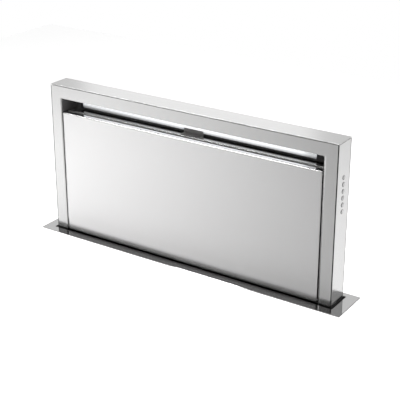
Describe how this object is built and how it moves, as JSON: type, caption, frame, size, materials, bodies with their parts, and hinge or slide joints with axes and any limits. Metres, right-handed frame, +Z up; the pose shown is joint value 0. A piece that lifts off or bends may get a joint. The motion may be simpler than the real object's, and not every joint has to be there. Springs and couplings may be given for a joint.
{
  "type": "downdraft vent",
  "caption": "Downdraft kitchen vent: a slim steel tower with an intake slot, a light strip and a tilting panel rises from the worktop on a belt lift above its blower.",
  "frame": {"origin": "centre of the worktop cut-out, in the plane of the worktop's upper face, on which the trim plate lies", "axes": "+Z up out of the worktop, +X along the tower towards the end with the buttons, +Y to the back"},
  "size_m": [0.89, 0.3227, 1.142],
  "materials": {
    "polished_steel": "mirror-polished stainless steel",
    "satin_steel": "brushed stainless steel, grain along the sheet",
    "panel_steel": "brushed stainless steel, grain across the panel",
    "galvanised_sheet": "galvanised sheet steel",
    "seal_rubber": "matt black rubber",
    "belt_rubber": "black toothed-belt rubber",
    "black_paint": "matt black paint",
    "motor_paint": "satin dark grey paint",
    "plain_aluminium": "natural aluminium",
    "die_cast": "die-cast, matt",
    "opal_diffuser": "emissive opal strip, cool white",
    "glide_nylon": "natural nylon",
    "black_plastic": "fine-grained black plastic",
    "button_metal": "satin metal",
    "circuit_board": "green solder mask",
    "bearing_bronze": "sintered bronze",
    "screw_zinc": "zinc-plated",
    "magnet_plastic": "black holder"
  },
  "bodies": {
    "chassis": {"trim_plate": "polished_steel", "wiper_seal": "seal_rubber", "chassis_front": "galvanised_sheet", "chassis_back": "galvanised_sheet", "chassis_base": "galvanised_sheet", "chassis_sides": "galvanised_sheet", "floor_brackets": "galvanised_sheet", "worktop_clamps": "galvanised_sheet", "clamp_screws": "screw_zinc", "guide_rails": "galvanised_sheet", "lift_belts": "belt_rubber", "idler_brackets": "galvanised_sheet", "shaft_bearings": "bearing_bronze", "lift_gearbox": "die_cast", "lift_motor": "motor_paint", "limit_switches": "black_plastic", "blower_box": "galvanised_sheet", "blower_cover": "galvanised_sheet", "blower_scroll": "galvanised_sheet", "blower_motor": "motor_paint", "motor_bracket": "galvanised_sheet", "outlet_collar": "black_plastic", "control_box": "black_plastic", "control_lid": "black_plastic", "cable_gland": "black_plastic", "cover_screws": "screw_zinc"},
    "tower": {"tower_side_left": "satin_steel", "tower_side_right": "satin_steel", "tower_cap": "satin_steel", "front_frame": "satin_steel", "tower_back": "satin_steel", "foot_beam": "galvanised_sheet", "glide_blocks": "glide_nylon", "belt_clamps": "die_cast", "intake_lining": "black_paint", "baffle_ledge": "polished_steel", "filter_sill": "galvanised_sheet", "filter_frames": "plain_aluminium", "filter_meshes": "plain_aluminium", "centre_post": "galvanised_sheet", "light_profile": "plain_aluminium", "light_diffuser": "opal_diffuser", "light_pads": "seal_rubber", "centre_bracket": "black_paint", "panel_pins": "screw_zinc", "panel_magnets": "magnet_plastic", "button_board": "circuit_board"},
    "front_panel": {"front_panel": "panel_steel"},
    "button_lift": {"button_lift": "button_metal"},
    "button_power": {"button_power": "button_metal"},
    "button_light": {"button_light": "button_metal"},
    "button_slower": {"button_slower": "button_metal"},
    "button_faster": {"button_faster": "button_metal"},
    "button_timer": {"button_timer": "button_metal"},
    "lift_shaft": {"drive_shaft": "screw_zinc", "drive_pulleys": "plain_aluminium"},
    "idlers": {"idler_pulleys": "plain_aluminium"},
    "blower_wheel": {"blower_wheel": "galvanised_sheet"},
    "flap_front": {"flap_front": "black_plastic"},
    "flap_back": {"flap_back": "black_plastic"}
  },
  "joints": [
    {"name": "tower_lift", "type": "slide", "parent": "chassis", "child": "tower", "axis": [0, 0, 1], "range_m": [-0.4, 0]},
    {"name": "panel_tilt", "type": "hinge", "parent": "tower", "child": "front_panel", "pos_m": [0, -0.025, 0.009], "axis": [1, 0, 0], "range_deg": [0, 80]},
    {"name": "lift_press", "type": "slide", "parent": "tower", "child": "button_lift", "axis": [-1, 0, 0], "range_m": [0, 0.001], "stiffness_N_per_m": 800, "springref_m": -0.0005},
    {"name": "power_press", "type": "slide", "parent": "tower", "child": "button_power", "axis": [-1, 0, 0], "range_m": [0, 0.001], "stiffness_N_per_m": 800, "springref_m": -0.0005},
    {"name": "light_press", "type": "slide", "parent": "tower", "child": "button_light", "axis": [-1, 0, 0], "range_m": [0, 0.001], "stiffness_N_per_m": 800, "springref_m": -0.0005},
    {"name": "slower_press", "type": "slide", "parent": "tower", "child": "button_slower", "axis": [-1, 0, 0], "range_m": [0, 0.001], "stiffness_N_per_m": 800, "springref_m": -0.0005},
    {"name": "faster_press", "type": "slide", "parent": "tower", "child": "button_faster", "axis": [-1, 0, 0], "range_m": [0, 0.001], "stiffness_N_per_m": 800, "springref_m": -0.0005},
    {"name": "timer_press", "type": "slide", "parent": "tower", "child": "button_timer", "axis": [-1, 0, 0], "range_m": [0, 0.001], "stiffness_N_per_m": 800, "springref_m": -0.0005},
    {"name": "shaft_spin", "type": "hinge", "parent": "chassis", "child": "lift_shaft", "pos_m": [0, 0.021, -0.56], "axis": [1, 0, 0], "continuous": true},
    {"name": "idler_spin", "type": "hinge", "parent": "chassis", "child": "idlers", "pos_m": [0, 0.021, -0.06], "axis": [1, 0, 0], "continuous": true},
    {"name": "wheel_spin", "type": "hinge", "parent": "chassis", "child": "blower_wheel", "pos_m": [-0.02, -0.156, -0.56819], "axis": [0, 1, 0], "continuous": true},
    {"name": "flap_front_swing", "type": "hinge", "parent": "chassis", "child": "flap_front", "pos_m": [0.16, -0.156, -0.4786], "axis": [0, 0, 1], "range_deg": [0, 70]},
    {"name": "flap_back_swing", "type": "hinge", "parent": "chassis", "child": "flap_back", "pos_m": [0.16, -0.156, -0.4786], "axis": [0, 0, -1], "range_deg": [0, 70]}
  ],
  "couplings": [
    {"joint": "shaft_spin", "follows": "tower_lift", "rad_per_m": -82.645},
    {"joint": "idler_spin", "follows": "tower_lift", "rad_per_m": -82.645}
  ]
}
